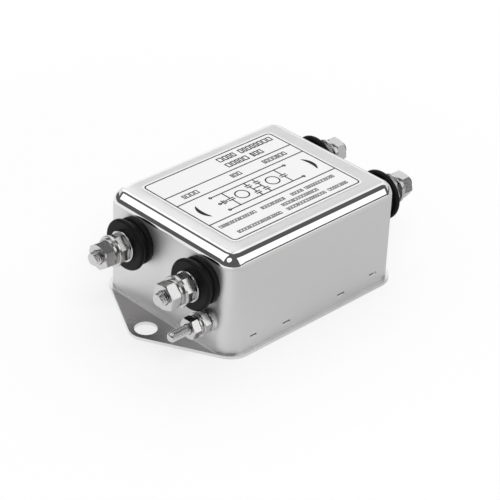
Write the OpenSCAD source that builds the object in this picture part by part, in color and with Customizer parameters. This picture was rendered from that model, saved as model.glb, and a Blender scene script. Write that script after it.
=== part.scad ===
// Single-phase chassis filter: a drawn steel can staked to an eared base plate, with a
// stud terminal in a spool bushing at each end of each conductor and an earth stud.
// The origin is the centre of the base plate's underside, +Z up, and +X towards the load end.

/* [Case] */
// Length of the can, over its end walls
case_l = 64; // [60:0.5:90]
// Width of the can, over its side walls
case_w = 50; // [48:0.5:70]
// Height from the underside of the base plate to the top of the can
case_h = 31; // [30:0.5:45]
// Sheet thickness of the can
case_wall = 0.8; // [0.5:0.1:1.2]
// Radius of the can's upright corners
case_corner_r = 5; // [4.5:0.1:8]
// Radius round the top of the can
case_top_r = 4; // [2:0.1:4.4]

/* [Base plate] */
// Sheet thickness of the base plate
plate_t = 0.9; // [0.6:0.1:1.6]
// Lip of the base plate beyond the can on all sides
plate_lip = 1.25; // [0.6:0.05:3]
// Radius of the base plate's four corners
plate_corner_r = 7; // [4:0.1:9]
// Reach of each ear beyond the can's end wall
ear_reach = 11.6; // [10:0.1:16]
// Radius of the tip of each ear
ear_tip_r = 5.4; // [4.5:0.1:7]
// Diameter of the mounting hole in each ear
ear_hole_d = 6.4; // [4:0.1:7]
// Distance from the can's end wall to the centre of a mounting hole
ear_hole_reach = 7; // [5:0.1:9]
// Height of the upturned flanges inside the can's long sides
tray_flange_h = 6.5; // [5.6:0.1:9]
// Gap between an upturned flange and the can
tray_gap = 0.15; // [0.05:0.05:0.4]

/* [Stakes] */
// Distance of the two inner stakes of a side from the middle
stake_inner_x = 10.6; // [6:0.1:14]
// Distance of the two outer stakes of a side from the ends of the upturned flange
stake_end_inset = 2.7; // [1.8:0.1:6]
// Height of the inner stakes' sheared edge
stake_inner_z = 3.6; // [3.2:0.1:4.2]
// Height of the outer stakes' sheared edge
stake_outer_z = 4.9; // [3.2:0.1:5]
// Length of a stake along the wall
stake_l = 2.8; // [1.5:0.1:4]
// Height of a stake
stake_h = 1.1; // [0.8:0.1:1.6]
// Depth that a stake is pressed in
stake_depth = 0.45; // [0.2:0.05:0.7]

/* [Label] */
// Length of the printed frame on the label
label_frame_l = 48; // [40:0.5:52]
// Width of the printed frame on the label
label_frame_w = 36.4; // [30:0.2:39]
// Blank margin round the printed frame
label_margin = 0.7; // [0.3:0.1:1]
// Thickness of the label
label_t = 0.1; // [0.05:0.05:0.3]
// Corner radius of the printed frame
label_corner_r = 1.4; // [0.5:0.1:3]
// Offset of the label from the middle along X
label_shift_x = -0.3; // [-1:0.1:1]
// Offset of the label from the middle along Y
label_shift_y = 0.4; // [-1:0.1:1]
// Thickness of the printed ink
ink_t = 0.02; // [0.01:0.01:0.05]
// Width of the printed lines
ink_line = 0.26; // [0.2:0.02:0.4]
// Height of the label's heading row
heading_row_h = 8.8; // [7:0.1:10]
// Height of the label's row of marks
mark_row_h = 5; // [4:0.1:6]
// Height of the label's circuit row
circuit_row_h = 12.7; // [11:0.1:14]
// Height of a line of the heading
heading_text_h = 2.1; // [1.2:0.1:2.6]
// Height of a line of small print
small_text_h = 1.2; // [0.8:0.1:1.6]
// Length of the printed circuit
circuit_l = 28; // [24:0.5:32]
// Distance between the two conductors of the printed circuit
circuit_w = 7.8; // [6:0.1:9]
// Diameter of a choke in the printed circuit
coil_mark_d = 4; // [3:0.1:5]
// Distance between the two chokes of the printed circuit
coil_mark_pitch = 11.6; // [10:0.1:13]

/* [Terminals] */
// Distance between the two studs of one end
terminal_pitch = 26; // [24:0.2:32]
// Offset of both studs of an end towards the earth stud's side
terminal_shift = 1.2; // [0:0.1:2]
// Distance from the top of the can down to the studs
terminal_drop = 10.3; // [9.6:0.1:11]
// Thread diameter of a terminal stud
stud_d = 4; // [3:0.5:4]
// Thread pitch of a terminal stud
stud_pitch = 0.7; // [0.5:0.1:0.7]
// Reach of a terminal stud beyond the end wall
stud_reach = 16; // [15:0.1:24]
// Rounding of a terminal stud's end
stud_end_r = 0.5; // [0.2:0.1:1.2]
// Radial undersize of a thread's crests, as on a stud's free end
crest_under = 0.06; // [0.04:0.01:0.1]
// Width across the flats of a terminal nut
nut_af = 7; // [6:0.5:8]
// Height of a terminal nut
nut_h = 3.2; // [2:0.1:3.2]
// Height of the head of a terminal stud, inside the can
stud_head_h = 2.8; // [1.5:0.1:3]
// Outer diameter of the flat washers of a terminal
washer_d = 9; // [8:0.1:10]
// Thickness of the flat washers of a terminal
washer_t = 0.8; // [0.5:0.1:1]
// Outer diameter of a terminal's spring washer
spring_washer_d = 7.6; // [7:0.1:8]
// Thickness of a terminal's spring washer
spring_washer_t = 1; // [0.6:0.1:1.2]
// Radial clearance of a stud's plain shank in its bushing and strap
shank_clearance = 0.03; // [0.01:0.01:0.1]
// Radial clearance between a stud and a washer
washer_clearance = 0.15; // [0.05:0.05:0.3]

/* [Bushings] */
// Height of a bushing above the end wall
bushing_h = 4.9; // [4:0.1:7]
// Diameter of a bushing's outer flange
bushing_flange_d = 14.8; // [12:0.1:16]
// Thickness of a bushing's outer flange
bushing_flange_t = 1.6; // [1.4:0.1:1.8]
// Diameter of a bushing's foot, on the wall
bushing_foot_d = 13.6; // [11:0.1:15]
// Thickness of a bushing's foot
bushing_foot_t = 1.7; // [1.4:0.1:1.8]
// Diameter at the middle of a bushing's hollow waist, between foot and flange
bushing_waist_d = 12; // [10:0.1:12.4]
// Radius of the hollow of a bushing's waist
bushing_hollow_r = 1.5; // [1.4:0.1:3]
// Rounding of a bushing's rims
bushing_round = 0.7; // [0.2:0.1:0.9]
// Diameter of the spigot that passes through the can
spigot_d = 8.8; // [6:0.1:9.5]
// Clearance round the spigot
spigot_clearance = 0.1; // [0.05:0.05:0.3]
// Diameter of the insulating ring inside the can
ring_d = 11; // [10:0.1:11.6]
// Thickness of the insulating ring inside the can
ring_t = 1.6; // [1:0.1:2]

/* [Earth stud] */
// Distance of the earth stud from the can's side wall
earth_inset = 7.8; // [7.8:0.1:9]
// Distance from the terminal studs down to the earth stud
earth_drop = 10.9; // [10.9:0.1:12]
// Thread diameter of the earth stud
earth_d = 3; // [2.5:0.5:3]
// Thread pitch of the earth stud
earth_pitch = 0.5; // [0.4:0.1:0.5]
// Reach of the earth stud beyond the end wall
earth_reach = 14.3; // [12:0.1:16]
// Rounding of the earth stud's end
earth_end_r = 1; // [0.2:0.1:1.2]
// Width across the flats of an earth nut
earth_nut_af = 5.5; // [5:0.5:5.5]
// Height of an earth nut
earth_nut_h = 2.4; // [1.6:0.1:2.4]
// Outer diameter of the earth stud's flat washers
earth_washer_d = 6.8; // [6:0.1:6.8]
// Thickness of the earth stud's flat washers
earth_washer_t = 0.5; // [0.4:0.1:0.8]
// Outer diameter of the earth stud's spring washer
earth_spring_d = 5.9; // [5:0.1:6]
// Thickness of the earth stud's spring washer
earth_spring_t = 0.8; // [0.5:0.1:1]
// Height of the boss drawn in the wall under the earth stud
earth_boss_h = 1.2; // [0.6:0.1:1.6]
// Diameter of that boss at its top
earth_boss_d = 5.2; // [5:0.1:5.6]
// Height of the earth stud's head, inside the can
earth_head_h = 2; // [1.2:0.1:2.4]

/* [Inside] */
// Thickness of the insulating sheet on the base plate
liner_t = 0.3; // [0.2:0.1:0.5]
// Clearance between that sheet and the walls
liner_clearance = 0.7; // [0.3:0.1:1]
// Height of the spacers under the circuit board
spacer_h = 2.5; // [2:0.1:3]
// Diameter of the spacers under the circuit board
spacer_d = 5; // [4:0.1:6]
// Thickness of the circuit board
board_t = 1.6; // [1:0.1:1.6]
// Clearance between the circuit board and the walls
board_clearance = 0.7; // [0.5:0.1:0.9]
// Thickness of the copper straps
strap_t = 0.5; // [0.3:0.1:0.6]
// Width of the copper straps
strap_w = 3; // [2:0.1:4]
// Sideways distance from a terminal stud to the leg of its strap
strap_arm = 5.2; // [5:0.1:6]
// Sideways distance from the earth stud to the leg of its strap
earth_strap_arm = 4.9; // [4.8:0.1:5]
// Length of the earth strap's foot on the circuit board
strap_foot_l = 4; // [2:0.1:5]
// Outer diameter of a choke's ring core
core_d = 20; // [16:0.5:20]
// Inner diameter of a choke's ring core
core_bore = 11; // [9:0.5:11]
// Length of a choke's ring core along its axis
core_l = 8; // [6:0.5:8]
// Wire diameter of a choke's windings
wire_d = 1.2; // [0.8:0.1:1.2]
// Turns in one winding of a choke
winding_turns = 11; // [6:1:12]
// Angle that one winding covers
winding_angle = 128; // [100:1:140]
// Length of a capacitor across the lines
box_cap_l = 18; // [14:0.5:20]
// Thickness of a capacitor across the lines
box_cap_t = 6; // [4:0.5:6]
// Height of a capacitor across the lines
box_cap_h = 11; // [9:0.5:11]
// Diameter of a capacitor to earth
disc_cap_d = 8.5; // [6:0.1:9]
// Thickness of a capacitor to earth
disc_cap_t = 3.4; // [2:0.1:3.5]
// Distance between the leads of a capacitor to earth
disc_cap_pitch = 5; // [4:0.5:6]
// Distance of the capacitors to earth from the middle line
disc_cap_y = 7; // [5:0.5:8]
// Diameter of the bleed resistor
resistor_d = 2.4; // [1.8:0.1:2.6]
// Length of the bleed resistor's body
resistor_l = 6.4; // [5:0.1:8]
// Distance between the leads of the bleed resistor
resistor_pitch = 12; // [9:0.5:14]
// Gap between the capacitor at the load end and the bleed resistor
resistor_gap = 1.8; // [0.5:0.1:2.5]
// Diameter of the component leads
lead_d = 0.7; // [0.5:0.05:0.8]
// Length of a lead below the circuit board
lead_below = 1.2; // [0.8:0.1:1.6]
// Clearance round a lead or strap in the circuit board
lead_clearance = 0.15; // [0.05:0.05:0.3]
// Gap between the parts that stand in a row on the circuit board
row_gap = 0.8; // [0.5:0.1:1]

/* [Hidden] */
$fn = 96;

// Inside of the can, and the span of its flat walls between the corners
inner_l = case_l - 2 * case_wall;
inner_w = case_w - 2 * case_wall;
flat_l = case_l - 2 * case_corner_r;
flat_w = case_w - 2 * case_corner_r;
// Base plate outline
plate_l = case_l + 2 * plate_lip;
plate_w = case_w + 2 * plate_lip;
ear_tip_x = case_l / 2 + ear_reach - ear_tip_r;
tray_flange_l = flat_l - 2;
tray_flange_y = inner_w / 2 - tray_gap;
ear_hole_x = case_l / 2 + ear_hole_reach;
// Stakes: [distance along the wall, height of the sheared edge]
stake_outer_x = tray_flange_l / 2 - stake_end_inset;
stakes = [
    [-stake_outer_x, stake_outer_z], [-stake_inner_x, stake_inner_z],
    [stake_inner_x, stake_inner_z], [stake_outer_x, stake_outer_z]
];
// Label rows: where the heading, the marks and the circuit end, from its middle
heading_end_y = label_frame_w / 2 - heading_row_h;
mark_end_y = heading_end_y - mark_row_h;
circuit_end_y = mark_end_y - circuit_row_h;
// Heights inside
board_z = plate_t + liner_t + spacer_h;
board_top = board_z + board_t;
board_l = inner_l - 2 * board_clearance;
board_w = 2 * (tray_flange_y - plate_t - board_clearance);
liner_l = inner_l - 2 * liner_clearance;
liner_w = 2 * (tray_flange_y - plate_t - liner_clearance);
lead_r = lead_d / 2;
lead_hole_r = lead_r + lead_clearance;
// Terminal stack, measured outwards from the outer face of the end wall
terminal_z = case_h - terminal_drop;
stud_r = stud_d / 2;
bushing_waist_z = (bushing_foot_t + bushing_h - bushing_flange_t) / 2;
stud_bore_r = stud_r + shank_clearance;
seat_washer_d0 = bushing_h;
inner_nut_d0 = seat_washer_d0 + washer_t;
flat_washer_d0 = inner_nut_d0 + nut_h;
spring_washer_d0 = flat_washer_d0 + washer_t;
outer_nut_d0 = spring_washer_d0 + spring_washer_t;
stud_lead_d0 = outer_nut_d0 + nut_h;
spigot_end = case_wall + ring_t;
strap_end = spigot_end + strap_t;
// Earth stack, measured the same way
earth_y = case_w / 2 - earth_inset;
earth_z = terminal_z - earth_drop;
earth_r = earth_d / 2;
earth_bore_r = earth_r + shank_clearance;
earth_inner_nut_d0 = earth_boss_h + earth_washer_t;
earth_flat_washer_d0 = earth_inner_nut_d0 + earth_nut_h;
earth_spring_d0 = earth_flat_washer_d0 + earth_washer_t;
earth_outer_nut_d0 = earth_spring_d0 + earth_spring_t;
earth_lead_d0 = earth_outer_nut_d0 + earth_nut_h;
earth_strap_end = case_wall + strap_t;
// Terminals: [end: -1 line or 1 load, Y of the stud, side of the middle line]
line_a = [-1, -terminal_pitch / 2 - terminal_shift, -1];
line_b = [-1, terminal_pitch / 2 - terminal_shift, 1];
load_a = [1, -terminal_pitch / 2 - terminal_shift, -1];
load_b = [1, terminal_pitch / 2 - terminal_shift, 1];
terminals = [line_a, line_b, load_a, load_b];
// Chokes and capacitors stand in a row along the board
winding_t = wire_d;
winding_r = core_d / 2 + winding_t;
core_gap = 0.01;
turn_angle = 8;
turn_inset = 1;
coil_lead_r = core_d / 2 + winding_t / 2;
coil_lead_y = coil_lead_r * cos(winding_angle / 2 - turn_inset - turn_angle / 2);
choke_l = core_l + 2 * winding_t;
choke_z = board_top + winding_r;
row_pitch = choke_l / 2 + box_cap_t / 2 + row_gap;
row_x = -1;
earth_cap_x = row_x - 2 * row_pitch - box_cap_t / 2 - disc_cap_t / 2 - row_gap;
resistor_x = row_x + 2 * row_pitch + box_cap_t / 2 + resistor_gap + resistor_d / 2;

// ---------- helpers ----------

// Rectangle with round corners, centred
module rounded_rect(l, w, r) {
    square([l - 2 * r, w], center = true);
    square([l, w - 2 * r], center = true);
    for (x = [-1, 1], y = [-1, 1]) {
        translate([x * (l / 2 - r), y * (w / 2 - r)]) circle(r);
    }
}

// Flat ring from height 0 to t
module flat_ring(outer_d, bore_r, t) {
    difference() {
        cylinder(d = outer_d, h = t);
        translate([0, 0, -1]) cylinder(r = bore_r, h = t + 2);
    }
}

// Turned washer: a flat ring with its outer rims broken
module washer(outer_d, bore_r, t) {
    r = outer_d / 2;
    edge = t / 6;
    rotate_extrude() polygon([
        [bore_r, 0], [r - edge, 0], [r, edge], [r, t - edge], [r - edge, t], [bore_r, t]
    ]);
}

// Split spring washer: a square-section ring cut on a slant
module spring_washer(outer_d, bore_r, t) {
    slit = t * 0.35;
    difference() {
        flat_ring(outer_d, bore_r, t);
        rotate([0, 0, 90]) translate([outer_d / 4 + bore_r / 2, 0, t / 2])
            rotate([35, 0, 0]) cube([outer_d / 2, slit, 4 * t], center = true);
    }
}

// Hexagon prism with its points chamfered at both ends, or at the top alone
module hexagon(af, h, both = true) {
    corner_r = af / sqrt(3);
    chamfer = (corner_r - af / 2) * tan(30);
    bottom = both ? chamfer : 0;
    intersection() {
        rotate([0, 0, 30]) cylinder(r = corner_r, h = h, $fn = 6);
        union() {
            if (both) cylinder(r1 = af / 2, r2 = corner_r, h = chamfer);
            translate([0, 0, bottom]) cylinder(r = corner_r + 0.01, h = h - bottom - chamfer);
            translate([0, 0, h - chamfer]) cylinder(r1 = corner_r, r2 = af / 2, h = chamfer);
        }
    }
}

// ISO metric thread: radius at the root of a stud, and at the crests of a nut
function root_r(d, pitch) = d / 2 - 0.6134 * pitch;
function nut_bore_r(d, pitch) = d / 2 - 0.5413 * pitch;

// Hexagon nut, with its bore countersunk at both faces to just over the thread
module nut(af, h, d, pitch) {
    bore_r = nut_bore_r(d, pitch);
    sink_r = d / 2 + 0.1;
    sink = sink_r - bore_r;
    difference() {
        hexagon(af, h);
        translate([0, 0, -1]) cylinder(r = bore_r, h = h + 2);
        translate([0, 0, h - sink]) cylinder(r1 = bore_r, r2 = sink_r, h = sink);
        cylinder(r1 = sink_r, r2 = bore_r, h = sink);
    }
}

// Puts a child's Z axis along the outward normal of an end wall, at distance d from it
module at_end(end, y, z, d, turn = 0) {
    translate([end * (case_l / 2 + d), y, z]) rotate([0, end * 90, 0]) rotate([0, 0, turn]) children();
}

// The same, at a terminal
module at_terminal(t, d, turn = 0) {
    at_end(t[0], t[1], terminal_z, d, turn) children();
}

// The same, at the earth stud
module at_earth(d, turn = 0) {
    at_end(-1, -earth_y, earth_z, d, turn) children();
}

// ---------- case ----------

// Section of one wall and its top bend, u outwards from the corner's centre and v up
module can_section() {
    bend_u = case_corner_r - case_top_r;
    bend_v = case_h - case_top_r;
    translate([case_corner_r - case_wall, plate_t]) square([case_wall, bend_v - plate_t]);
    translate([0, case_h - case_wall]) square([bend_u, case_wall]);
    translate([bend_u, bend_v]) intersection() {
        difference() {
            circle(case_top_r);
            circle(case_top_r - case_wall);
        }
        square(case_top_r);
    }
}

module can_shell() {
    for (x = [0, 1], y = [0, 1]) {
        mirror([x, 0, 0]) mirror([0, y, 0]) translate([flat_l / 2, flat_w / 2, 0])
            rotate_extrude(angle = 90) can_section();
    }
    for (a = [0, 180]) {
        rotate([0, 0, a]) translate([flat_l / 2, flat_w / 2, 0])
            rotate([90, 0, 0]) linear_extrude(flat_w) can_section();
        rotate([0, 0, a]) translate([-flat_l / 2, flat_w / 2, 0])
            rotate([90, 0, 90]) linear_extrude(flat_l) can_section();
    }
    translate([-flat_l / 2, -flat_w / 2, case_h - case_wall]) cube([flat_l, flat_w, case_wall]);
}

// Wedge of a stake: a sheared edge at height 0, pressed in by depth and fading out below
module stake_wedge(depth) {
    translate([-stake_l / 2, 0, 0]) rotate([90, 0, 90])
        linear_extrude(stake_l) polygon([[0, 0], [depth, 0], [0, -stake_h]]);
}

// Puts a child at each stake, with Y inwards from the can's outer face
module at_stakes() {
    for (side = [0, 1], s = stakes) {
        mirror([0, side, 0]) translate([s[0], -case_w / 2, s[1]]) children();
    }
}

module case_can() {
    color([0.78, 0.79, 0.80]) difference() {
        union() {
            can_shell();
            at_stakes() translate([0, case_wall, 0]) stake_wedge(stake_depth);
            at_earth(0) cylinder(d1 = earth_boss_d + earth_boss_h, d2 = earth_boss_d, h = earth_boss_h);
        }
        at_stakes() stake_wedge(stake_depth);
        for (t = terminals) {
            at_terminal(t, -2 * case_wall) cylinder(d = spigot_d + 2 * spigot_clearance, h = 4 * case_wall);
        }
        at_earth(-case_wall) cylinder(
            d1 = earth_boss_d + earth_boss_h - case_wall, d2 = earth_boss_d - case_wall, h = earth_boss_h);
        at_earth(-2 * case_wall) cylinder(r = earth_bore_r + 0.05, h = 4 * case_wall + earth_boss_h);
    }
}

// Where the line from one circle meets the next, for circles [x, y, r] that run anticlockwise
function tangent_angle(a, b) =
    atan2(b[1] - a[1], b[0] - a[0]) - acos((a[2] - b[2]) / norm([b[0] - a[0], b[1] - a[1]]));
function tangent_point(c, angle) = [c[0] + c[2] * cos(angle), c[1] + c[2] * sin(angle)];

// Outline of one ear: the tip's circle, blended into the plate's corners by straight edges
module ear_outline() {
    corner = [plate_l / 2 - plate_corner_r, -(plate_w / 2 - plate_corner_r), plate_corner_r];
    tip = [ear_tip_x, 0, ear_tip_r];
    angle = tangent_angle(corner, tip);
    lower = [tangent_point(corner, angle), tangent_point(tip, angle)];
    upper = [for (p = lower) [p[0], -p[1]]];
    polygon([[0, lower[0][1]], lower[0], lower[1], upper[1], upper[0], [0, upper[0][1]]]);
    translate([tip[0], tip[1]]) circle(tip[2]);
}

module base_plate() {
    color([0.80, 0.81, 0.82]) difference() {
        union() {
            linear_extrude(plate_t) {
                rounded_rect(plate_l, plate_w, plate_corner_r);
                ear_outline();
                mirror([1, 0]) ear_outline();
            }
            for (side = [0, 1]) {
                mirror([0, side, 0]) translate([-tray_flange_l / 2, -tray_flange_y, 0])
                    cube([tray_flange_l, plate_t, tray_flange_h]);
            }
        }
        for (x = [-1, 1]) {
            translate([x * ear_hole_x, 0, -1]) cylinder(d = ear_hole_d, h = plate_t + 2);
        }
        at_stakes() translate([-stake_l / 2 - tray_gap, 0, -stake_h - tray_gap])
            cube([stake_l + 2 * tray_gap, case_wall + 2 * plate_t, stake_h + 2 * tray_gap]);
    }
}

// ---------- label ----------

module at_label(z) {
    translate([label_shift_x, label_shift_y, case_h + z]) children();
}

module rating_label() {
    color([0.95, 0.95, 0.95]) at_label(0) linear_extrude(label_t)
        rounded_rect(label_frame_l + 2 * label_margin, label_frame_w + 2 * label_margin,
            label_corner_r + label_margin);
}

// Straight printed line between two points along X or Y
module ink_bar(from, to) {
    size = [abs(to[0] - from[0]) + ink_line, abs(to[1] - from[1]) + ink_line];
    translate((from + to) / 2) square(size, center = true);
}

module ink_ring(r) {
    difference() {
        circle(r + ink_line / 2);
        circle(r - ink_line / 2);
    }
}

module label_frame() {
    difference() {
        rounded_rect(label_frame_l, label_frame_w, label_corner_r);
        rounded_rect(label_frame_l - 2 * ink_line, label_frame_w - 2 * ink_line, label_corner_r - ink_line);
    }
    for (y = [heading_end_y, mark_end_y, circuit_end_y]) {
        translate([0, y]) square([label_frame_l - ink_line, ink_line], center = true);
    }
}

// A line of words as plain bars: words is a list of [start, end]
module ink_words(words, y, h) {
    for (w = words) {
        translate([w[0], y - h / 2]) square([w[1] - w[0], h]);
    }
}

// Two-stage filter circuit: two conductors, two chokes, capacitors between and to earth
module ink_circuit() {
    half_l = circuit_l / 2;
    half_w = circuit_w / 2;
    dot_r = 0.35;
    stage_x = coil_mark_pitch / 2;
    cap_gap = 0.4;
    for (s = [-1, 1]) {
        ink_bar([-half_l + dot_r, s * half_w], [half_l - dot_r, s * half_w]);
        translate([s * stage_x, 0]) ink_ring(coil_mark_d / 2);
        for (e = [-1, 1]) {
            translate([e * half_l, s * half_w]) ink_ring(dot_r);
        }
        // capacitors between the conductors, outside the chokes
        outer_x = s * (stage_x + half_l) / 2;
        for (e = [-1, 1]) {
            ink_bar([outer_x, e * cap_gap], [outer_x, e * half_w]);
            ink_bar([outer_x - 1, e * cap_gap], [outer_x + 1, e * cap_gap]);
        }
        // capacitors to earth, between the chokes
        for (e = [-1, 1]) {
            ink_bar([s * 1.6, e * half_w], [s * 1.6, e * (half_w / 2 + cap_gap)]);
            ink_bar([s * 1.6 - 0.8, e * (half_w / 2 + cap_gap)], [s * 1.6 + 0.8, e * (half_w / 2 + cap_gap)]);
            ink_bar([s * 1.6 - 0.8, e * (half_w / 2 - cap_gap)], [s * 1.6 + 0.8, e * (half_w / 2 - cap_gap)]);
            ink_bar([s * 1.6, e * (half_w / 2 - cap_gap)], [s * 1.6, 0]);
        }
        // crescents at both ends
        difference() {
            translate([s * (half_l + 2), 0]) circle(5.2);
            translate([s * (half_l - 1.3), 0]) circle(8);
        }
    }
    ink_bar([-1.6, 0], [1.6, 0]);
    // earth terminal, on the line side
    translate([-half_l, 0]) ink_ring(dot_r);
    ink_bar([-half_l + dot_r, 0], [-half_l + 1.2, 0]);
    for (i = [0 : 2]) {
        ink_bar([-half_l + 1.2 + i * 0.6, -0.9 + i * 0.3], [-half_l + 1.2 + i * 0.6, 0.9 - i * 0.3]);
    }
}

module label_print() {
    right = label_frame_l / 2 - 1.6;
    left = -label_frame_l / 2 + 1.4;
    heading_y = heading_end_y + heading_row_h / 2;
    mark_y = mark_end_y + mark_row_h / 2;
    small_y = circuit_end_y / 2 - label_frame_w / 4;
    small_pitch = small_text_h + 1.2;
    color([0.15, 0.15, 0.16]) at_label(label_t) linear_extrude(ink_t) {
        label_frame();
        translate([0, circuit_end_y + circuit_row_h / 2]) ink_circuit();
        ink_words([[right - 21, right - 14.2], [right - 12.8, right]],
            heading_y + heading_text_h * 0.85, heading_text_h);
        ink_words([[right - 21, right - 12.6], [right - 11.4, right - 7]],
            heading_y - heading_text_h * 0.85, heading_text_h);
        ink_words([[left + 3, left + 8.8], [left + 21, left + 24.8], [right - 11.8, right - 2.8]],
            mark_y, small_text_h * 1.4);
        ink_words([[left, left + 13.4], [left + 15.4, left + 24.2], [left + 26.6, left + 31.2],
            [left + 32, left + 43.2]], small_y + small_pitch, small_text_h);
        ink_words([[left + 20.8, left + 34.6]], small_y, small_text_h);
        ink_words([[left + 2.2, left + 18.4], [left + 20.4, left + 35.2], [left + 36.2, left + 43.6]],
            small_y - small_pitch, small_text_h);
    }
}

// ---------- terminals ----------

// Half section of the bushing's rim: thickness t from height v, out to radius r
module rim_section(r, v, t) {
    translate([0, v]) square([r - bushing_round, t]);
    translate([0, v + bushing_round]) square([r, t - 2 * bushing_round]);
    for (z = [v + bushing_round, v + t - bushing_round]) {
        translate([r - bushing_round, z]) circle(bushing_round);
    }
}

module bushing() {
    color([0.10, 0.10, 0.11]) difference() {
        union() {
            rotate_extrude() {
                rim_section(bushing_foot_d / 2, 0, bushing_foot_t);
                rim_section(bushing_flange_d / 2, bushing_h - bushing_flange_t, bushing_flange_t);
                difference() {
                    square([bushing_foot_d / 2 - bushing_round, bushing_h]);
                    translate([bushing_waist_d / 2 + bushing_hollow_r, bushing_waist_z]) circle(bushing_hollow_r);
                }
            }
            translate([0, 0, -spigot_end]) cylinder(d = spigot_d, h = spigot_end + 0.5);
        }
        translate([0, 0, -spigot_end - 1]) cylinder(r = stud_bore_r, h = spigot_end + bushing_h + 2);
    }
}

module bushing_ring() {
    color([0.82, 0.80, 0.74]) flat_ring(ring_d, spigot_d / 2 + spigot_clearance, ring_t);
}

// Stud of either size: a head, a plain shank to shank_d, its thread's root under the nuts to
// lead_d0, and a free end at its thread's crests. The ends' rounding is end_r.
module stud(af, head_h, d, pitch, head_d, shank_d, lead_d0, reach, end_r) {
    crest_r = d / 2 - crest_under;
    color([0.80, 0.80, 0.79]) {
        translate([0, 0, -head_d]) mirror([0, 0, 1]) hexagon(af, head_h, false);
        translate([0, 0, -head_d]) cylinder(d = d, h = head_d + shank_d);
        translate([0, 0, shank_d]) cylinder(r = root_r(d, pitch), h = lead_d0 - shank_d);
        translate([0, 0, lead_d0]) rotate_extrude() {
            square([crest_r, reach - lead_d0 - end_r]);
            square([crest_r - end_r, reach - lead_d0]);
            translate([crest_r - end_r, reach - lead_d0 - end_r]) intersection() {
                circle(end_r);
                square(end_r);
            }
        }
    }
}

module terminal_stud() {
    stud(nut_af, stud_head_h, stud_d, stud_pitch, strap_end, bushing_h, stud_lead_d0, stud_reach, stud_end_r);
}

module terminal_washer() {
    color([0.80, 0.80, 0.79]) washer(washer_d, stud_r + washer_clearance, washer_t);
}

module terminal_nut() {
    color([0.80, 0.80, 0.79]) nut(nut_af, nut_h, stud_d, stud_pitch);
}

module terminal_spring_washer() {
    color([0.74, 0.74, 0.73]) spring_washer(spring_washer_d, stud_r + washer_clearance, spring_washer_t);
}

module flat_washers() {
    for (t = terminals) {
        at_terminal(t, flat_washer_d0) terminal_washer();
    }
}

// Copper strap: a ring under the stud's head, an arm towards the middle and a leg into the board
module strap(t) {
    arm = t[2] * strap_arm;
    drop = terminal_z - board_z;
    translate([t[0] * (inner_l / 2 - ring_t - strap_t / 2), t[1], terminal_z])
        color([0.80, 0.60, 0.42]) rotate([90, 0, 90]) translate([0, 0, -strap_t / 2])
            linear_extrude(strap_t) difference() {
                union() {
                    circle(d = nut_af + 1);
                    translate([min(0, -arm), -strap_w / 2]) square([abs(arm), strap_w]);
                    translate([-arm - strap_w / 2, -drop]) square([strap_w, drop + strap_w / 2]);
                }
                circle(stud_bore_r);
            }
}

// ---------- earth stud ----------

module earth_stud() {
    stud(earth_nut_af, earth_head_h, earth_d, earth_pitch, earth_strap_end, earth_boss_h,
        earth_lead_d0, earth_reach, earth_end_r);
}

module earth_washer() {
    color([0.80, 0.80, 0.79]) washer(earth_washer_d, earth_r + washer_clearance, earth_washer_t);
}

module earth_nut() {
    color([0.80, 0.80, 0.79]) nut(earth_nut_af, earth_nut_h, earth_d, earth_pitch);
}

module earth_spring_washer() {
    color([0.74, 0.74, 0.73]) spring_washer(earth_spring_d, earth_r + washer_clearance, earth_spring_t);
}

// Copper strap: a ring under the head, an arm, a leg down the wall and a foot on the board
module earth_strap() {
    drop = earth_z - board_top;
    color([0.80, 0.60, 0.42]) translate([-inner_l / 2, -earth_y, earth_z]) {
        rotate([90, 0, 90]) linear_extrude(strap_t) difference() {
            union() {
                circle(d = earth_nut_af);
                translate([0, -strap_w / 2]) square([earth_strap_arm, strap_w]);
                translate([earth_strap_arm - strap_w / 2, -drop]) square([strap_w, drop + strap_w / 2]);
            }
            circle(earth_bore_r);
        }
        translate([0, earth_strap_arm - strap_w / 2, -drop]) cube([strap_foot_l, strap_w, strap_t]);
    }
}

// ---------- inside ----------

module liner() {
    color([0.86, 0.80, 0.62]) translate([0, 0, plate_t]) linear_extrude(liner_t)
        rounded_rect(liner_l, liner_w, case_corner_r);
}

module board_spacers() {
    color([0.90, 0.90, 0.88]) for (x = [-1, 1], y = [-1, 1]) {
        translate([x * (board_l / 2 - spacer_d), y * (board_w / 2 - spacer_d), plate_t + liner_t])
            cylinder(d = spacer_d, h = spacer_h);
    }
}

// Where the leads of the standing parts pass through the board: [x, y]
function box_cap_leads(x) = [for (s = [-1, 1]) [x, s * (box_cap_l / 2 - 1.5)]];
function winding_leads(x, side) = [for (s = [-1, 1]) [x + s * core_l / 4, side * coil_lead_y]];
function disc_cap_leads(y) = [for (s = [-1, 1]) [earth_cap_x, y + s * disc_cap_pitch / 2]];
resistor_leads = [for (s = [-1, 1]) [resistor_x, s * resistor_pitch / 2]];

module at_points(points) {
    for (p = points) {
        translate([p[0], p[1], 0]) children();
    }
}

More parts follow.
